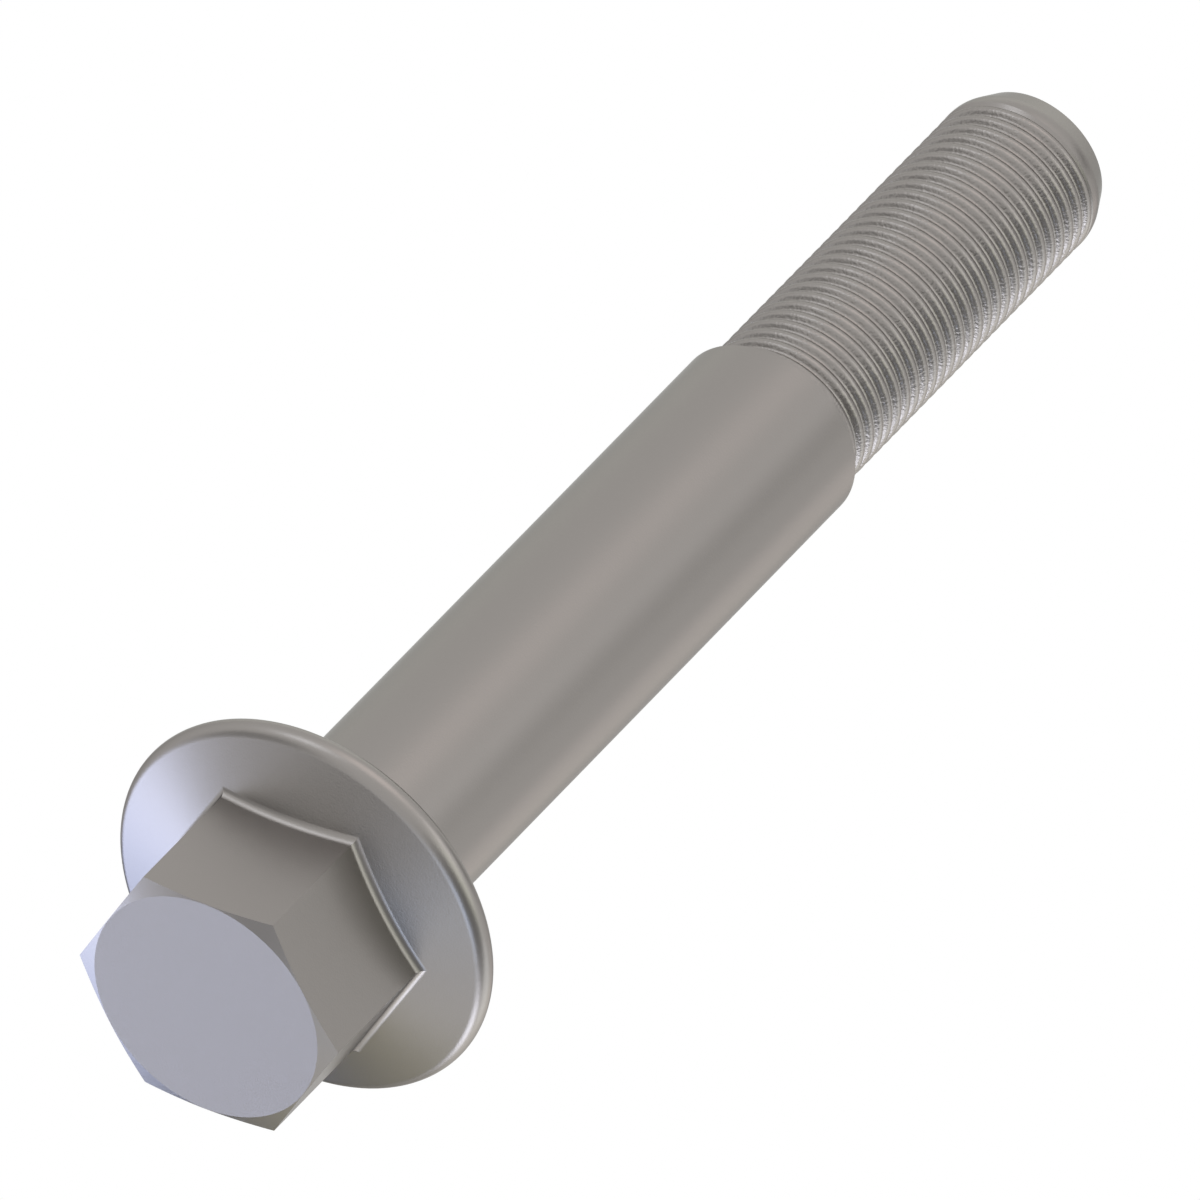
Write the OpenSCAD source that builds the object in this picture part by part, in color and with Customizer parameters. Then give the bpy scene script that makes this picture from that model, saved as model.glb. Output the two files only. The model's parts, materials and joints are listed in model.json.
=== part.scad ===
// Cap screw with a hexagon head and a round conical flange, forged and turned in one piece.
// It stands on its head: the end face of the head lies at z = 0 and the shank points up.

/* [Hexagon] */
// Width across the flats
hex_width = 22; // [19:0.5:25]
// Diameter of the round end face, inside the chamfered corners
end_face_d = 21.9; // [17:0.1:22]
// Angle between the corner chamfer and the end face
corner_angle = 15.5; // [10:0.5:30]
// Height of the whole head, from the end face to the bearing face
head_height = 17.5; // [15:0.5:24]

/* [Flange] */
// Diameter of the flange
flange_d = 36.25; // [32:0.25:44]
// Thickness of the flange at its rim, which is a full round
rim_thickness = 2.62; // [1.6:0.02:3.6]
// Rise of the flange's conical side, from the plane of the flange
flange_angle = 17.75; // [10:0.25:24]
// Radius of the blend where the flats run out into the flange
blend_r = 0.87; // [0.4:0.01:1.4]

/* [Shank] */
// Diameter of the plain shank
shank_d = 17.6; // [16.5:0.1:20]
// Length of the plain shank, from the bearing face to its shoulder
shank_length = 73.5; // [20:0.5:160]
// Radius of the fillet between the bearing face and the shank
neck_r = 1; // [0.4:0.1:2]

/* [Thread] */
// Major diameter of the thread
thread_d = 15.75; // [12:0.05:16]
// Length of the threaded end, from the shoulder to the tip
thread_length = 44.2; // [20:0.1:80]
// Diameter of the flat tip
tip_d = 13.6; // [9:0.1:14]
// Length of the chamfer that leads into the thread
tip_chamfer = 2.45; // [1:0.05:5]

/* [Hidden] */

STEEL = [0.6, 0.58, 0.55];
FLATS = 6;
// Half of the angle that one flat takes up around the axis
HALF_FLAT_ANGLE = 180 / FLATS;
// Steps of the blend along one flat, and around its hollow from the flat to the flange
BLEND_STEPS = 16;
BLEND_ROWS = 8;
// Halvings that place the end of each row of the blend on the plane through a corner
HALVINGS = 40;

flat_x = hex_width / 2;
corner_d = hex_width / cos(HALF_FLAT_ANGLE);
rim_r = rim_thickness / 2;
rim_centre_r = flange_d / 2 - rim_r;
rim_centre_z = head_height - rim_r;
shoulder_z = head_height + shank_length;
tip_z = shoulder_z + thread_length;
$fn = 96;

// Height of the flange's cone at a distance from the axis; the cone is tangent to the rim
function cone_z(radius) =
    rim_centre_z - rim_r / cos(flange_angle) + (radius - rim_centre_r) * tan(flange_angle);

// Centre of a ball of the blend's radius, offset sideways from the middle of the flat that faces
// +X. The ball touches that flat and the cone.
function ball_centre(offset) =
    let (x = flat_x + blend_r)
    [x, offset, cone_z(norm([x, offset])) - blend_r / cos(flange_angle)];

// Point on the hollow of the blend: the share goes from 0 on the flat to 1 on the cone
function blend_point(offset, share) =
    let (
        centre = ball_centre(offset),
        around = atan2(centre.y, centre.x),
        to_flat = [-1, 0, 0],
        to_cone = [-sin(flange_angle) * cos(around), -sin(flange_angle) * sin(around), cos(flange_angle)],
        turn = acos(to_flat * to_cone)
    )
    centre + blend_r * (sin((1 - share) * turn) * to_flat + sin(share * turn) * to_cone) / sin(turn);

// Offset at which a row of the blend meets the plane through the corner, found by halving
function corner_offset(share, low = 0, high = hex_width, left = HALVINGS) =
    let (middle = (low + high) / 2, point = blend_point(middle, share))
    left == 0 ? middle
    : point.y > point.x * tan(HALF_FLAT_ANGLE) ? corner_offset(share, low, middle, left - 1)
    : corner_offset(share, middle, high, left - 1);

function turned(point, angle) = [
    point.x * cos(angle) - point.y * sin(angle),
    point.x * sin(angle) + point.y * cos(angle),
    point.z
];

// One section of the blend: the hollow, whose two ends run on straight into the metal, and a
// point under it that closes the section inside the head
function blend_section(step, offsets) =
    let (
        hollow = [for (row = [0 : BLEND_ROWS])
            blend_point(offsets[row] * (2 * step / BLEND_STEPS - 1), row / BLEND_ROWS)],
        in_flat = 2 * hollow[0] - hollow[1],
        in_cone = 2 * hollow[BLEND_ROWS] - hollow[BLEND_ROWS - 1],
        inside = [0.9 * in_flat.x, 0.9 * in_flat.y, in_cone.z + blend_r / 2]
    )
    [in_flat, for (row = [1 : BLEND_ROWS - 1]) hollow[row], in_cone, inside];

// Blend between the hexagon and the flange: a hollow along each flat, mitred at the corners
module head_blend() {
    offsets = [for (row = [0 : BLEND_ROWS]) corner_offset(row / BLEND_ROWS)];
    sections = [
        for (flat = [0 : FLATS - 1], step = [0 : BLEND_STEPS - 1])
            [for (point = blend_section(step, offsets)) turned(point, (2 * flat + 1) * HALF_FLAT_ANGLE)]
    ];
    around = len(sections);
    across = len(sections[0]);
    polyhedron(
        points = [for (section = sections) each section],
        faces = [
            for (i = [0 : around - 1], j = [0 : across - 1])
                let (
                    here = i * across,
                    next = (i + 1) % around * across,
                    side = (j + 1) % across
                )
                each [[here + j, here + side, next + j], [here + side, next + side, next + j]]
        ],
        convexity = 6
    );
}

// Hexagon with its corners chamfered off around the end face; its far end is inside the flange
module hexagon() {
    intersection() {
        cylinder(h = rim_centre_z, d = corner_d, $fn = FLATS);
        cylinder(
            h = head_height,
            d1 = end_face_d,
            d2 = end_face_d + 2 * head_height / tan(corner_angle)
        );
    }
}

// Half section of the flange: its cone, its full round rim and its flat bearing face
module flange_section() {
    polygon([
        [0, cone_z(0)],
        [rim_centre_r + rim_r * sin(flange_angle), rim_centre_z - rim_r * cos(flange_angle)],
        [rim_centre_r, rim_centre_z],
        [rim_centre_r, head_height],
        [0, head_height]
    ]);
    translate([rim_centre_r, rim_centre_z]) circle(r = rim_r);
}

// Half section of the fillet in the corner between the bearing face and the shank
module neck_section() {
    translate([shank_d / 2, head_height]) difference() {
        square(neck_r);
        translate([neck_r, neck_r]) circle(r = neck_r);
    }
}

// Half section of the shank, its shoulder and the threaded end with its chamfered tip
module shank_section() {
    polygon([
        [0, cone_z(0)],
        [shank_d / 2, head_height],
        [shank_d / 2, shoulder_z],
        [thread_d / 2, shoulder_z],
        [thread_d / 2, tip_z - tip_chamfer],
        [tip_d / 2, tip_z],
        [0, tip_z]
    ]);
}

module cap_screw() {
    color(STEEL) union() {
        hexagon();
        head_blend();
        rotate_extrude() {
            flange_section();
            neck_section();
            shank_section();
        }
    }
}

cap_screw();
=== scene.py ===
"""A flanged cap screw of bare steel, standing on its head in a small photographic studio."""

import json
import math

import bmesh
import bpy
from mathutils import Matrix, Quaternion, Vector


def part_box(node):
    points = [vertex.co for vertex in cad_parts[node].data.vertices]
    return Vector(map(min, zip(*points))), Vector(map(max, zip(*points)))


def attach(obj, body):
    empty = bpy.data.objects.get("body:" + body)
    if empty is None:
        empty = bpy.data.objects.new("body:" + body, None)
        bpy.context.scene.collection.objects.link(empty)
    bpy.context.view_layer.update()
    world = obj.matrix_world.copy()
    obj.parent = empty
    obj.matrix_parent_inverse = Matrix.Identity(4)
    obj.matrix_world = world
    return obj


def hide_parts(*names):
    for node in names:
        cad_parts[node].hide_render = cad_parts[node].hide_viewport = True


bl_info = {
    "name": "Flanged Cap Screw",
    "version": (1, 0, 0),
    "blender": (4, 5, 0),
    "location": "View3D > Sidebar > Cap Screw",
    "description": "Turns, threads and lights a hexagon cap screw with a conical flange",
    "category": "Add Mesh",
}

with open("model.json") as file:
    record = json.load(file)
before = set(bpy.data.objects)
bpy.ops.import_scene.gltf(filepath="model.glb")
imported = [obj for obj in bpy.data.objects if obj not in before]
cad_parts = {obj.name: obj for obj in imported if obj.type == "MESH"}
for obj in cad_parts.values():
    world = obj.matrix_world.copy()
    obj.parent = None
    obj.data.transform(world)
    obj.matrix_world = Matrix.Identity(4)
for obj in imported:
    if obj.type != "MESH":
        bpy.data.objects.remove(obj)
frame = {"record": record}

MM = 0.001
NODE = "cap_screw"
BODY = "root"
CAD_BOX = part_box(NODE)
MOUNTS = {mount["name"]: mount for mount in frame["record"]["mounts"]}


def mount_radius(name):
    """Radius in metres of one of the screw's round mounts."""
    return MOUNTS[name]["dims"]["r_mm"] * MM


class ScrewSizes(bpy.types.PropertyGroup):
    """Sizes of the head, the shank and the thread."""

    hex_width: bpy.props.FloatProperty(
        name="Across Flats", description="Width of the hexagon across two flats",
        default=22 * MM, unit="LENGTH")
    end_face_radius: bpy.props.FloatProperty(
        name="End Face Radius", description="Radius of the round end face of the head",
        default=10.95 * MM, unit="LENGTH")
    corner_angle: bpy.props.FloatProperty(
        name="Corner Chamfer", description="Angle between the corner chamfer and the end face",
        default=math.radians(15.5), subtype="ANGLE", unit="ROTATION")
    head_height: bpy.props.FloatProperty(
        name="Head Height", description="Height from the end face to the bearing face",
        default=MOUNTS["bearing_face"]["pos_m"][2], unit="LENGTH")
    flange_radius: bpy.props.FloatProperty(
        name="Flange Radius", description="Radius of the flange at its round rim",
        default=18.125 * MM, unit="LENGTH")
    rim_radius: bpy.props.FloatProperty(
        name="Rim Rounding", description="Radius of the full round at the rim of the flange",
        default=1.31 * MM, unit="LENGTH")
    flange_angle: bpy.props.FloatProperty(
        name="Flange Angle", description="Rise of the flange's conical side",
        default=math.radians(17.75), subtype="ANGLE", unit="ROTATION")
    blend_radius: bpy.props.FloatProperty(
        name="Flat Blend", description="Radius of the hollow where the flats meet the flange",
        default=0.87 * MM, unit="LENGTH")
    shank_radius: bpy.props.FloatProperty(
        name="Shank Radius", description="Radius of the plain shank",
        default=mount_radius("shank"), unit="LENGTH")
    neck_radius: bpy.props.FloatProperty(
        name="Neck Fillet", description="Radius of the fillet under the head",
        default=1 * MM, unit="LENGTH")
    shoulder_height: bpy.props.FloatProperty(
        name="Shoulder Height", description="Height of the shoulder where the thread begins",
        default=91 * MM, unit="LENGTH")
    tip_height: bpy.props.FloatProperty(
        name="Tip Height", description="Height of the flat tip over the end face",
        default=CAD_BOX[1].z, unit="LENGTH")
    tip_radius: bpy.props.FloatProperty(
        name="Tip Radius", description="Radius of the flat tip",
        default=6.8 * MM, unit="LENGTH")
    tip_chamfer: bpy.props.FloatProperty(
        name="Tip Chamfer", description="Length of the chamfer that leads into the thread",
        default=2.45 * MM, unit="LENGTH")
    tip_rounding: bpy.props.FloatProperty(
        name="Tip Rounding", description="Radius of the round that leads into the chamfer",
        default=3 * MM, unit="LENGTH")


class ThreadSizes(bpy.types.PropertyGroup):
    """Form of the rolled thread."""

    crest_radius: bpy.props.FloatProperty(
        name="Crest Radius", description="Radius over the crests",
        default=mount_radius("thread"), unit="LENGTH")
    pitch: bpy.props.FloatProperty(
        name="Pitch", description="Distance from one crest to the next",
        default=1.5 * MM, unit="LENGTH")
    crest_rounding: bpy.props.FloatProperty(
        name="Crest Rounding", description="Radius of the round crest of the rolled thread",
        default=0.5 * MM, unit="LENGTH")
    root_rounding: bpy.props.FloatProperty(
        name="Root Rounding", description="Radius of the round root of the rolled thread",
        default=0.3 * MM, unit="LENGTH")
    flank_angle: bpy.props.FloatProperty(
        name="Flank Angle", description="Angle between a flank and the axis",
        default=math.radians(55), subtype="ANGLE", unit="ROTATION")
    crest_height: bpy.props.FloatProperty(
        name="Crest Height", description="Height of one crest at azimuth zero",
        default=95.476 * MM, unit="LENGTH")


FLATS = 6
# Steps of the turned body and of one turn of the thread, all the way round
LATHE_STEPS = 192
THREAD_STEPS = 108
# Turns that are swept, and how many of them start below the named crest; both ends are trimmed
THREAD_TURNS = 32
THREAD_TURNS_BELOW = 4
# Steps of the arcs: crests and roots, the rim, the neck, the tip and the blend of the flats
ARC_STEPS = 5
RIM_STEPS = 20
NECK_STEPS = 10
TIP_STEPS = 5
BLEND_SEGMENTS = 10
# Plain collars between the shoulder and the grooves, and between the grooves and the tip
SHOULDER_COLLAR = 1.25 * MM
TIP_COLLAR = 0.2 * MM
# Pitches over which the grooves run out at the shoulder and at the tip
SHOULDER_RUN_OUT = 0.25
TIP_RUN_OUT = 0.5
# The helix is trimmed this far above the shoulder, and this far past the end of the grooves
TRIM_START = 0.4 * MM
TRIM_END = 0.1 * MM
# Faces that turn by less than this are shaded as one surface
SMOOTH_ANGLE = math.radians(12)
# Doubles of one drawn point, and corners that a Boolean leaves side by side
MERGE_DISTANCE = 1e-7
WELD_DISTANCE = 1e-6
# Keeps two surfaces apart where a Boolean would find them in one place
SEAM_GAP = 0.005 * MM
# How closely a face's direction has to match when faces are picked by it
NORMAL_TOLERANCE = 0.01
# Setting of Weighted Normal at which the largest face alone leads
LARGEST_FACE_LEADS = 100


def start_mesh(name):
    """Add one vertex at the origin as a new object and stay in edit mode with it selected."""
    bpy.ops.object.select_all(action="DESELECT")
    bpy.ops.mesh.primitive_plane_add(size=MM)
    bpy.context.object.name = name
    bpy.ops.object.mode_set(mode="EDIT")
    bpy.ops.mesh.select_all(action="SELECT")
    bpy.ops.mesh.merge(type="CENTER")
    return bpy.context.object


class ProfilePen:
    """Draws a half section in the plane y = 0 with extrude and spin, point after point."""

    def __init__(self, name, radius, height):
        self.object = start_mesh(name)
        self.place = Vector((radius, 0, height))
        bpy.ops.transform.translate(value=self.place)

    def line_to(self, radius, height):
        """Extrude a straight edge to a new point."""
        target = Vector((radius, 0, height))
        bpy.ops.mesh.extrude_region_move(TRANSFORM_OT_translate={"value": target - self.place})
        self.place = target

    def arc(self, centre_radius, centre_height, angle, steps):
        """Spin the last point round a centre; a positive angle turns from +Z towards +X."""
        centre = Vector((centre_radius, 0, centre_height))
        bpy.ops.mesh.spin(steps=steps, angle=-angle, center=centre, axis=(0, 1, 0))
        self.place = centre + Quaternion((0, 1, 0), angle) @ (self.place - centre)


def lathe(steps):
    """Spin the drawn half section into a closed body and leave edit mode."""
    bpy.ops.mesh.select_all(action="SELECT")
    bpy.ops.mesh.spin(steps=steps, angle=math.tau, center=(0, 0, 0), axis=(0, 0, 1))
    close_mesh()


def close_mesh():
    """Merge doubles, turn all faces outwards and leave edit mode."""
    bpy.ops.mesh.select_all(action="SELECT")
    bpy.ops.mesh.remove_doubles(threshold=MERGE_DISTANCE)
    bpy.ops.mesh.normals_make_consistent(inside=False)
    bpy.ops.object.mode_set(mode="OBJECT")


def select_only(item):
    """Select one object alone and make it the active one."""
    bpy.ops.object.select_all(action="DESELECT")
    item.select_set(True)
    bpy.context.view_layer.objects.active = item


def combine(body, tool, operation):
    """Apply a Boolean of the tool to the body and delete the tool."""
    select_only(body)
    bpy.ops.object.modifier_add(type="BOOLEAN")
    boolean = body.modifiers[-1]
    boolean.object = tool
    boolean.operation = operation
    boolean.solver = "MANIFOLD"
    bpy.ops.object.modifier_apply(modifier=boolean.name)
    select_only(tool)
    bpy.ops.object.delete()


def chamfer_angle(sizes, thread):
    """Angle between the chamfer of the tip and the axis."""
    return math.atan((thread.crest_radius - sizes.tip_radius) / sizes.tip_chamfer)


def thread_end(sizes, thread):
    """Height where the grooves end, just under the round that leads into the chamfer."""
    lead_in = sizes.tip_rounding * math.tan(chamfer_angle(sizes, thread) / 2)
    return sizes.tip_height - sizes.tip_chamfer - lead_in - TIP_COLLAR


def groove_depth(thread):
    """Depth of the groove that the two roundings and the straight flanks between them give."""
    rounding = thread.crest_rounding + thread.root_rounding
    straight = thread.pitch / 2 - rounding * math.sin(thread.flank_angle)
    return (rounding * (1 - math.cos(thread.flank_angle))
            + straight * math.tan(thread.flank_angle))


def turn_blank(sizes, thread):
    """Lathe the flange, the shank, the thread's core with its run-outs, and the tip."""
    slope = sizes.flange_angle
    rim_centre = sizes.flange_radius - sizes.rim_radius
    rim_height = sizes.head_height - sizes.rim_radius
    apex = rim_height - sizes.rim_radius / math.cos(slope) - rim_centre * math.tan(slope)
    crest = thread.crest_radius
    core = crest - groove_depth(thread) - 2 * SEAM_GAP
    groove_start = sizes.shoulder_height + SHOULDER_COLLAR
    groove_end = thread_end(sizes, thread) - SEAM_GAP
    pen = ProfilePen("screw_blank", 0, apex)
    pen.line_to(rim_centre + sizes.rim_radius * math.sin(slope),
                rim_height - sizes.rim_radius * math.cos(slope))
    pen.arc(rim_centre, rim_height, -(math.pi - slope), RIM_STEPS)
    pen.line_to(sizes.shank_radius + sizes.neck_radius, sizes.head_height)
    pen.arc(sizes.shank_radius + sizes.neck_radius, sizes.head_height + sizes.neck_radius,
            math.pi / 2, NECK_STEPS)
    pen.line_to(sizes.shank_radius, sizes.shoulder_height)
    pen.line_to(crest, sizes.shoulder_height)
    pen.line_to(crest, groove_start)
    pen.line_to(core, groove_start + SHOULDER_RUN_OUT * thread.pitch)
    pen.line_to(core, groove_end - TIP_RUN_OUT * thread.pitch)
    pen.line_to(crest, groove_end)
    pen.line_to(crest, thread_end(sizes, thread) + TIP_COLLAR)
    pen.arc(crest - sizes.tip_rounding, pen.place.z, -chamfer_angle(sizes, thread), TIP_STEPS)
    pen.line_to(sizes.tip_radius, sizes.tip_height)
    pen.line_to(0, sizes.tip_height)
    lathe(LATHE_STEPS)
    return pen.object


def roll_thread(sizes, thread):
    """Sweep the section of one pitch along a right-hand helix and trim it to the threaded end."""
    crest = thread.crest_radius - SEAM_GAP
    root = crest - groove_depth(thread)
    pitch = thread.pitch
    slope = thread.flank_angle
    start = thread.crest_height - THREAD_TURNS_BELOW * pitch
    pen = ProfilePen("screw_thread", crest, start)
    pen.arc(crest - thread.crest_rounding, start, -slope, ARC_STEPS)
    pen.line_to(root + thread.root_rounding * (1 - math.cos(slope)),
                start + pitch / 2 - thread.root_rounding * math.sin(slope))
    pen.arc(root + thread.root_rounding, start + pitch / 2, 2 * slope, 2 * ARC_STEPS)
    pen.line_to(crest - thread.crest_rounding * (1 - math.cos(slope)),
                start + pitch - thread.crest_rounding * math.sin(slope))
    pen.arc(crest - thread.crest_rounding, start + pitch, -slope, ARC_STEPS)
    bpy.ops.object.mode_set(mode="OBJECT")
    bpy.ops.object.modifier_add(type="SCREW")
    screw = pen.object.modifiers[-1]
    screw.screw_offset = pitch
    screw.iterations = THREAD_TURNS
    screw.steps = THREAD_STEPS
    screw.render_steps = THREAD_STEPS
    bpy.ops.object.modifier_apply(modifier=screw.name)
    bpy.ops.object.mode_set(mode="EDIT")
    bpy.ops.mesh.select_all(action="SELECT")
    bpy.ops.mesh.remove_doubles(threshold=WELD_DISTANCE)
    low_cut = sizes.shoulder_height + TRIM_START
    high_cut = thread_end(sizes, thread) + TRIM_END
    for height, above in ((low_cut, False), (high_cut, True)):
        bpy.ops.mesh.select_all(action="SELECT")
        bpy.ops.mesh.bisect(plane_co=(0, 0, height), plane_no=(0, 0, 1), use_fill=True,
                            threshold=MERGE_DISTANCE, clear_outer=above, clear_inner=not above)
    close_mesh()
    return pen.object


def forge_hexagon(sizes):
    """Make the hexagonal prism and cut its corners off with a cone round the end face."""
    top = sizes.head_height - sizes.rim_radius
    half_flat = math.pi / FLATS
    corner = sizes.hex_width / 2 / math.cos(half_flat)
    bpy.ops.object.select_all(action="DESELECT")
    bpy.ops.mesh.primitive_cylinder_add(vertices=FLATS, radius=corner, depth=top,
                                        location=(0, 0, top / 2), rotation=(0, 0, half_flat))
    prism = bpy.context.object
    prism.name = "screw_hexagon"
    bpy.ops.object.transform_apply(location=True, rotation=True, scale=True)
    pen = ProfilePen("corner_cone", 0, 0)
    pen.line_to(sizes.end_face_radius, 0)
    pen.line_to(sizes.end_face_radius + sizes.head_height / math.tan(sizes.corner_angle),
                sizes.head_height)
    pen.line_to(0, sizes.head_height)
    lathe(LATHE_STEPS)
    combine(prism, pen.object, "INTERSECT")
    return prism


def joins_flat_and_cone(edge, sizes):
    """Whether an edge lies between a flat of the hexagon and the flange's conical side."""
    flat_tilt, cone_tilt = sorted(abs(face.normal.z) for face in edge.link_faces)
    rim_height = sizes.head_height - sizes.rim_radius
    return (flat_tilt < NORMAL_TOLERANCE
            and abs(cone_tilt - math.cos(sizes.flange_angle)) < NORMAL_TOLERANCE
            and sizes.head_height / 2 < edge.verts[0].co.z < rim_height)


def soften_flat_ends(screw, sizes):
    """Bevel the edges where the flats meet the flange into a hollow blend."""
    select_only(screw)
    bpy.ops.object.mode_set(mode="EDIT")
    bpy.ops.mesh.select_all(action="SELECT")
    bpy.ops.mesh.remove_doubles(threshold=WELD_DISTANCE)
    bpy.ops.mesh.select_all(action="DESELECT")
    mesh = bmesh.from_edit_mesh(screw.data)
    ends = [edge for edge in mesh.edges if joins_flat_and_cone(edge, sizes)]
    if not ends:
        raise RuntimeError("no edge was found between the flats and the flange")
    for edge in ends:
        edge.select = True
    bmesh.update_edit_mesh(screw.data)
    opening = math.pi / 2 - sizes.flange_angle
    width = sizes.blend_radius * math.tan(opening / 2)
    bpy.ops.mesh.bevel(offset=width, offset_type="OFFSET", segments=BLEND_SEGMENTS, profile=0.5,
                       loop_slide=True, clamp_overlap=False)
    bpy.ops.object.mode_set(mode="OBJECT")


def smooth_faces(screw):
    """Shade the turned faces smooth, keep the edges sharp and let large faces lead the normals."""
    select_only(screw)
    bpy.ops.object.shade_smooth_by_angle(angle=SMOOTH_ANGLE)
    bpy.ops.object.modifier_add(type="WEIGHTED_NORMAL")
    weighted = screw.modifiers[-1]
    weighted.keep_sharp = True
    weighted.weight = LARGEST_FACE_LEADS
    bpy.ops.object.modifier_apply(modifier=weighted.name)


class Value:
    """A socket of a node tree that takes part in plain arithmetic."""

    def __init__(self, bench, socket):
        self.bench = bench
        self.socket = socket

    def math(self, operation, first, second):
        """Add a Math node to this value's tree."""
        return self.bench.node("ShaderNodeMath", {"operation": operation}, first, second)

    def __add__(self, other):
        return self.math("ADD", self, other)

    def __mul__(self, other):
        return self.math("MULTIPLY", self, other)

    def __sub__(self, other):
        return self.math("SUBTRACT", self, other)

    def __rsub__(self, other):
        return self.math("SUBTRACT", other, self)

    def __gt__(self, other):
        return self.math("GREATER_THAN", self, other)

    def __lt__(self, other):
        return self.math("LESS_THAN", self, other)

    def or_greater(self, other):
        """The greater of this value and another."""
        return self.math("MAXIMUM", self, other)

    __radd__ = __add__
    __rmul__ = __mul__


class Bench:
    """A node tree that is emptied and built up node by node."""

    def __init__(self, owner):
        owner.use_nodes = True
        self.tree = owner.node_tree
        self.tree.nodes.clear()

    def node(self, kind, settings, *values, output=0, **named):
        """Add a node, set its settings, then its inputs by order or by name."""
        made = self.tree.nodes.new(kind)
        for name, setting in settings.items():
            setattr(made, name, setting)
        sockets = [(made.inputs[place], value) for place, value in enumerate(values)]
        sockets += [(made.inputs[name.replace("_", " ")], value) for name, value in named.items()]
        for socket, value in sockets:
            if isinstance(value, Value):
                self.tree.links.new(value.socket, socket)
            else:
                socket.default_value = value
        return Value(self, made.outputs[output] if made.outputs else None)


class FinishSettings(bpy.types.PropertyGroup):
    """Look of the bare steel."""

    colour: bpy.props.FloatVectorProperty(
        name="Steel Colour", description="Colour of the steel seen face on",
        default=(0.293, 0.275, 0.26), subtype="COLOR")
    edge_colour: bpy.props.FloatVectorProperty(
        name="Edge Tint", description="How far the steel brightens where it is seen edge on",
        default=(0.45, 0.45, 0.45), subtype="COLOR")
    roughness: bpy.props.FloatProperty(
        name="Roughness", description="Roughness of the satin surface",
        default=0.35, min=0, max=1)
    roughness_spread: bpy.props.FloatProperty(
        name="Roughness Spread", description="How much the roughness differs from grain to grain",
        default=0.04, min=0, max=1)
    grain: bpy.props.FloatProperty(
        name="Grain", description="Width of one grain of the satin surface",
        default=0.18 * MM, unit="LENGTH")
    grain_height: bpy.props.FloatProperty(
        name="Grain Height", description="Height of the grain of the satin surface",
        default=0.009 * MM, unit="LENGTH")
    streak_width: bpy.props.FloatProperty(
        name="Streak Width", description="Width of the streaks that rolling leaves on the thread",
        default=0.25 * MM, unit="LENGTH")
    streak_length: bpy.props.FloatProperty(
        name="Streak Length", description="Length of the streaks along the axis",
        default=0.8 * MM, unit="LENGTH")
    streak_height: bpy.props.FloatProperty(
        name="Streak Height", description="Height of the streaks on the thread",
        default=0.05 * MM, unit="LENGTH")


def mix_steel(finish, streak_start, streak_end):
    """The satin steel material: a fine grain all over and fine streaks on the rolled thread."""
    steel = bpy.data.materials.new("satin_steel")
    bench = Bench(steel)
    place = bench.node("ShaderNodeTexCoord", {}, output="Object")
    height = bench.node("ShaderNodeSeparateXYZ", {}, place, output="Z")
    on_thread = (height > streak_start) * (height < streak_end)
    grain = bench.node("ShaderNodeTexNoise", {}, Vector=place, Scale=1 / finish.grain, Detail=2.0)
    stretch = (1 / finish.streak_width, 1 / finish.streak_width, 1 / finish.streak_length)
    stretched = bench.node("ShaderNodeMapping", {}, Vector=place, Scale=stretch)
    streaks = bench.node("ShaderNodeTexNoise", {}, Vector=stretched, Scale=1.0, Detail=1.0)
    relief = finish.grain_height * grain + finish.streak_height * streaks * on_thread
    bump = bench.node("ShaderNodeBump", {}, Strength=1.0, Distance=1.0, Height=relief)
    roughness = finish.roughness + finish.roughness_spread * (grain - 0.5)
    shader = bench.node("ShaderNodeBsdfPrincipled", {}, Metallic=1.0, Roughness=roughness,
                        Base_Color=(*finish.colour, 1), Specular_Tint=(*finish.edge_colour, 1),
                        Normal=bump)
    bench.node("ShaderNodeOutputMaterial", {}, shader)
    return steel


def from_angles(azimuth, elevation):
    """Direction with an azimuth turned from +X towards +Y and a height over the floor."""
    flat = math.cos(elevation)
    return Vector((flat * math.cos(azimuth), flat * math.sin(azimuth), math.sin(elevation)))


class StudioSettings(bpy.types.PropertyGroup):
    """Camera and light of the studio."""

    view_azimuth: bpy.props.FloatProperty(
        name="View Azimuth", description="Direction from the screw to the camera, from +X",
        default=math.radians(-56.68), subtype="ANGLE", unit="ROTATION")
    view_elevation: bpy.props.FloatProperty(
        name="View Elevation", description="Height of the camera; below zero it looks up",
        default=math.radians(-42.195), subtype="ANGLE", unit="ROTATION")
    lean: bpy.props.FloatProperty(
        name="Lean", description="Lean of the screw in the picture, to the right",
        default=math.radians(44.342), subtype="ANGLE", unit="ROTATION")
    lens: bpy.props.FloatProperty(
        name="Lens", description="Focal length of the long lens, in millimetres",
        default=1700)
    frame_width: bpy.props.FloatProperty(
        name="Frame Width", description="Width that the picture shows at the aim",
        default=100.888 * MM, unit="LENGTH")
    aim: bpy.props.FloatVectorProperty(
        name="Aim", description="Point in the middle of the picture",
        default=(9.454 * MM, -14.766 * MM, 48.137 * MM), subtype="TRANSLATION", unit="LENGTH")


# Width of the camera's sensor in millimetres
SENSOR = 36
# Nearest and furthest point that the camera shows, as shares of its distance
CLIP_NEAR = 0.1
CLIP_FAR = 10
# Share of the white that reaches surfaces as plain light
AMBIENT = 0.7
FLOOR_SIZE = 6
FLOOR_GAP = 0.05 * MM
FLOOR_GREY = 0.9
# Share of the floor's look that takes shadows; the rest glows white
FLOOR_SHADE = 0.35
LAMP_DISTANCE = 2
CARD_DISTANCE = 3
CARD_STEPS = 64
WHITE = (1, 1, 1, 1)


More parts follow.
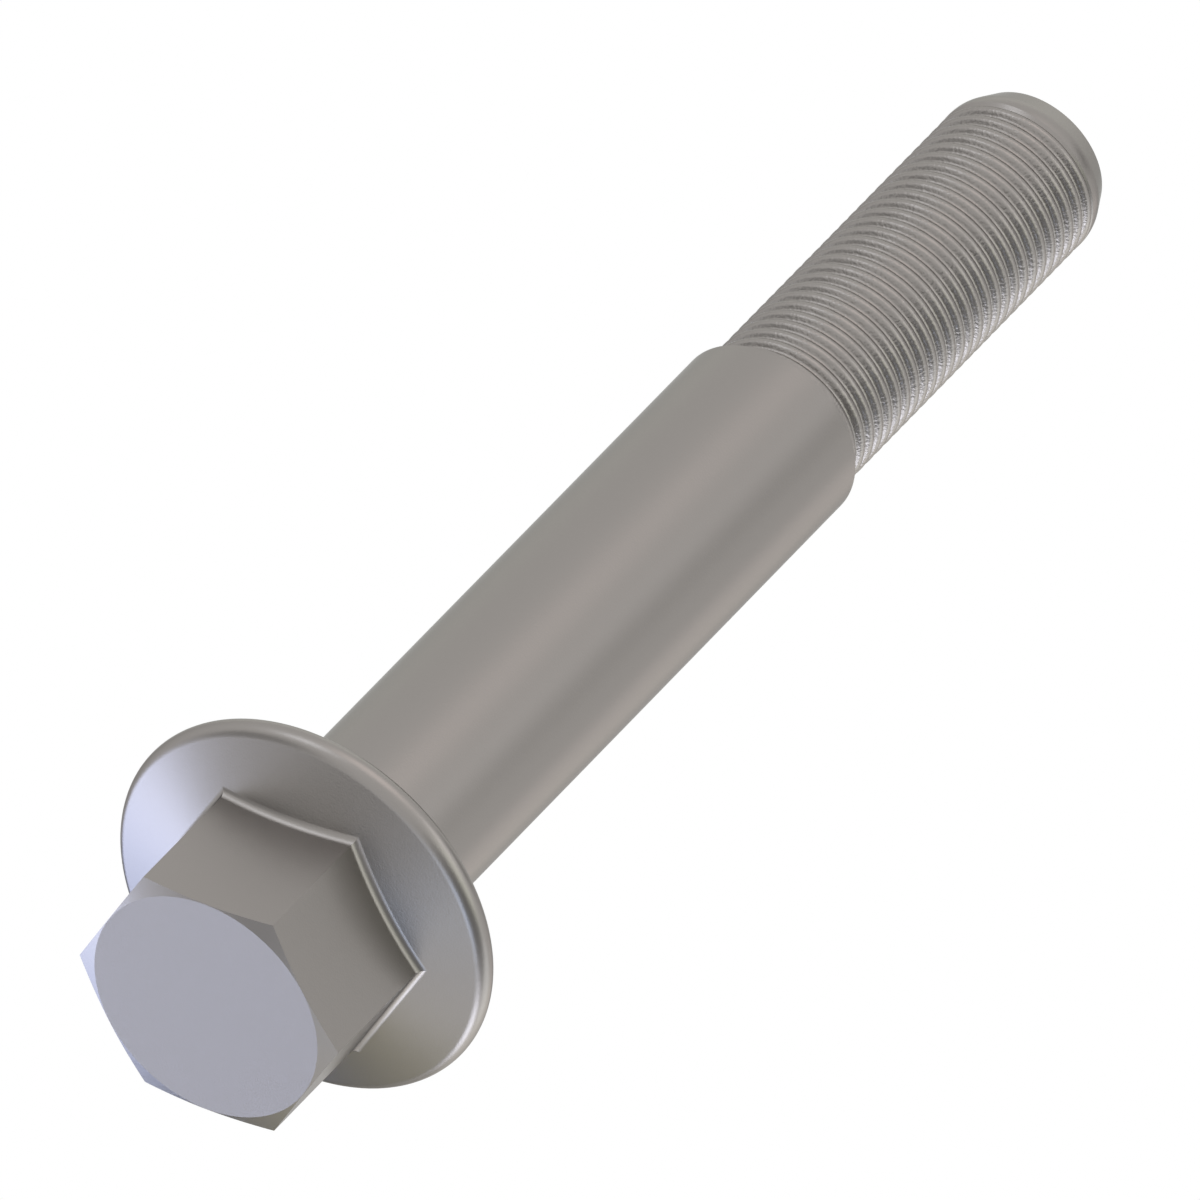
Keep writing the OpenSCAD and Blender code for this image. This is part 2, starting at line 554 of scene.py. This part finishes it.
def place_camera(studio):
    """A long lens that looks up at the head and has the screw lean to the right."""
    back = from_angles(studio.view_azimuth, studio.view_elevation)
    distance = studio.lens / SENSOR * studio.frame_width
    bpy.ops.object.camera_add(location=Vector(studio.aim) + distance * back)
    camera = bpy.context.object
    camera.name = "studio_camera"
    turn = back.to_track_quat("Z", "Y") @ Quaternion((0, 0, 1), studio.lean)
    camera.rotation_euler = turn.to_euler()
    camera.data.sensor_width = SENSOR
    camera.data.lens = studio.lens
    camera.data.clip_start = CLIP_NEAR * distance
    camera.data.clip_end = CLIP_FAR * distance
    bpy.context.scene.camera = camera


def light_world():
    """White surroundings, which the camera and the steel see at full strength."""
    world = bpy.data.worlds.new("studio_white")
    bpy.context.scene.world = world
    bench = Bench(world)
    camera, glossy, transmission = (
        bench.node("ShaderNodeLightPath", {}, output=f"Is {ray} Ray")
        for ray in ("Camera", "Glossy", "Transmission"))
    seen = camera.or_greater(glossy).or_greater(transmission)
    sky = bench.node("ShaderNodeBackground", {}, WHITE, AMBIENT + (1 - AMBIENT) * seen)
    bench.node("ShaderNodeOutputWorld", {}, sky)


def lay_floor():
    """A pale floor that only shows from above, so that the camera can look up at the head."""
    bpy.ops.object.select_all(action="DESELECT")
    bpy.ops.mesh.primitive_plane_add(size=FLOOR_SIZE, location=(0, 0, -FLOOR_GAP))
    floor = bpy.context.object
    floor.name = "studio_floor"
    paint = bpy.data.materials.new("pale_floor")
    bench = Bench(paint)
    camera_ray = bench.node("ShaderNodeLightPath", {}, output="Is Camera Ray")
    underside = bench.node("ShaderNodeNewGeometry", {}, output="Backfacing")
    glow = bench.node("ShaderNodeEmission", {}, WHITE, 1.0)
    matt = bench.node("ShaderNodeBsdfDiffuse", {}, (FLOOR_GREY, FLOOR_GREY, FLOOR_GREY, 1))
    clear = bench.node("ShaderNodeBsdfTransparent", {}, WHITE)
    pale = bench.node("ShaderNodeMixShader", {}, FLOOR_SHADE, glow, matt)
    shown = bench.node("ShaderNodeMixShader", {}, camera_ray * (1 - underside), clear, pale)
    bench.node("ShaderNodeOutputMaterial", {}, shown)
    floor.data.materials.append(paint)


def aim_at_screw(azimuth, elevation):
    """Middle of the screw, the direction of an azimuth and a height in degrees, and its turn."""
    middle = Vector((0, 0, CAD_BOX[1].z / 2))
    direction = from_angles(math.radians(azimuth), math.radians(elevation))
    return middle, direction, direction.to_track_quat("Z", "Y").to_euler()


def hang_lamp(name, azimuth, elevation, spread, colour, strength):
    """A round soft box that is strength times as bright as the white surroundings."""
    middle, direction, turn = aim_at_screw(azimuth, elevation)
    radius = LAMP_DISTANCE * math.tan(math.radians(spread))
    bpy.ops.object.light_add(type="AREA", location=middle + LAMP_DISTANCE * direction)
    lamp = bpy.context.object
    lamp.name = name
    lamp.rotation_euler = turn
    lamp.data.shape = "DISK"
    lamp.data.size = 2 * radius
    lamp.data.color = colour
    # A disk is as bright as white when its power is pi times its area
    area = math.pi * radius ** 2
    lamp.data.energy = strength * math.pi * area
    lamp.visible_camera = False


def hang_card(name, azimuth, elevation, spread, grey):
    """A round grey card that the steel reflects in place of the white surroundings."""
    middle, direction, turn = aim_at_screw(azimuth, elevation)
    radius = CARD_DISTANCE * math.tan(math.radians(spread))
    bpy.ops.object.select_all(action="DESELECT")
    bpy.ops.mesh.primitive_circle_add(vertices=CARD_STEPS, radius=radius, fill_type="NGON",
                                      location=middle + CARD_DISTANCE * direction, rotation=turn)
    card = bpy.context.object
    card.name = name
    paint = bpy.data.materials.new(name)
    bench = Bench(paint)
    glow = bench.node("ShaderNodeEmission", {}, (grey, grey, grey, 1), 1.0)
    bench.node("ShaderNodeOutputMaterial", {}, glow)
    card.data.materials.append(paint)
    card.visible_camera = False
    card.visible_diffuse = False
    card.visible_shadow = False


# Name, azimuth, elevation and half width in degrees, colour, and brightness against white
LAMPS = (
    ("end_face_lamp", 138.5, -24, 20, (0.6, 0.69, 1), 3.9),
    ("end_face_warm_lamp", 103, -30.5, 12, (1, 0.93, 0.45), 0.5),
    ("cone_lamp", 70.5, -25.5, 12, (0.79, 0.84, 1), 4.2),
    ("low_lamp", 43, -63.5, 12, (0.46, 0.64, 1), 1.85),
    ("left_rim_lamp", -112, -9, 12, (0.86, 0.91, 1), 1.6),
    ("right_rim_lamp", -11.5, -1, 20, (0.94, 1, 0.85), 0.76),
    ("side_lamp", 41, 4.5, 20, (0.87, 0.94, 1), 0.8),
    ("side_fill", 81, 11, 32, (1, 0.98, 0.89), 0.77),
    ("side_top_lamp", 61, 42, 12, (1, 0.91, 0.89), 0.72),
    ("top_fill", 154, 64.5, 32, (0.93, 1, 0.93), 0.63),
    ("front_fill", -76.5, 18, 20, (1, 0.86, 0.83), 0.7),
    ("shank_edge_lamp", -31.5, 21.5, 12, (0.99, 0.97, 1), 0.96),
)
# Name, azimuth, elevation and half width in degrees, and grey
CARDS = (
    ("back_card", 113.5, -7.5, 32, 0.03),
    ("low_side_card", 8.5, -31, 32, 0.27),
    ("low_front_card", -156.5, -46.5, 20, 0.4),
    ("low_back_card", 128, -68, 12, 0.15),
    ("top_side_card", -4, 56, 12, 0.36),
)


class SCREW_OT_make_screw(bpy.types.Operator):
    """Turn, forge and thread the screw and give it its steel finish"""

    bl_idname = "screw.make_screw"
    bl_label = "Make Screw"

    def execute(self, context):
        sizes = context.scene.screw_sizes
        thread = context.scene.thread_sizes
        screw = turn_blank(sizes, thread)
        combine(screw, forge_hexagon(sizes), "UNION")
        soften_flat_ends(screw, sizes)
        combine(screw, roll_thread(sizes, thread), "UNION")
        smooth_faces(screw)
        screw.name = "dressed_screw"
        screw.data.materials.clear()
        streak_end = thread_end(sizes, thread) - TIP_RUN_OUT * thread.pitch
        steel = mix_steel(context.scene.steel_finish, sizes.shoulder_height, streak_end)
        screw.data.materials.append(steel)
        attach(screw, BODY)
        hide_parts(NODE)
        return {"FINISHED"}


class SCREW_OT_set_stage(bpy.types.Operator):
    """Set up the camera, the white surroundings, the floor, the lamps and the cards"""

    bl_idname = "screw.set_stage"
    bl_label = "Set Stage"

    def execute(self, context):
        place_camera(context.scene.screw_studio)
        light_world()
        lay_floor()
        for lamp in LAMPS:
            hang_lamp(*lamp)
        for card in CARDS:
            hang_card(*card)
        context.scene.view_settings.view_transform = "Standard"
        return {"FINISHED"}


class VIEW3D_PT_cap_screw(bpy.types.Panel):
    """Sizes, finish and studio of the cap screw"""

    bl_label = "Cap Screw"
    bl_idname = "VIEW3D_PT_cap_screw"
    bl_space_type = "VIEW_3D"
    bl_region_type = "UI"
    bl_category = "Cap Screw"

    def draw(self, context):
        layout = self.layout
        for name in GROUPS:
            group = getattr(context.scene, name)
            box = layout.box()
            for prop in group.bl_rna.properties.keys():
                if prop not in ("rna_type", "name"):
                    box.prop(group, prop)
        layout.operator("screw.make_screw")
        layout.operator("screw.set_stage")


GROUPS = {
    "screw_sizes": ScrewSizes,
    "thread_sizes": ThreadSizes,
    "steel_finish": FinishSettings,
    "screw_studio": StudioSettings,
}
CLASSES = (*GROUPS.values(), SCREW_OT_make_screw, SCREW_OT_set_stage, VIEW3D_PT_cap_screw)


def register():
    """Register the settings, the operators and the panel."""
    for item in CLASSES:
        bpy.utils.register_class(item)
    for name, group in GROUPS.items():
        setattr(bpy.types.Scene, name, bpy.props.PointerProperty(type=group))


def unregister():
    """Take away all that register adds."""
    for name in GROUPS:
        delattr(bpy.types.Scene, name)
    for item in reversed(CLASSES):
        bpy.utils.unregister_class(item)


def main():
    """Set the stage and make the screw."""
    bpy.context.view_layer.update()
    register()
    bpy.ops.screw.set_stage()
    bpy.ops.screw.make_screw()


if __name__ == "__main__":
    main()
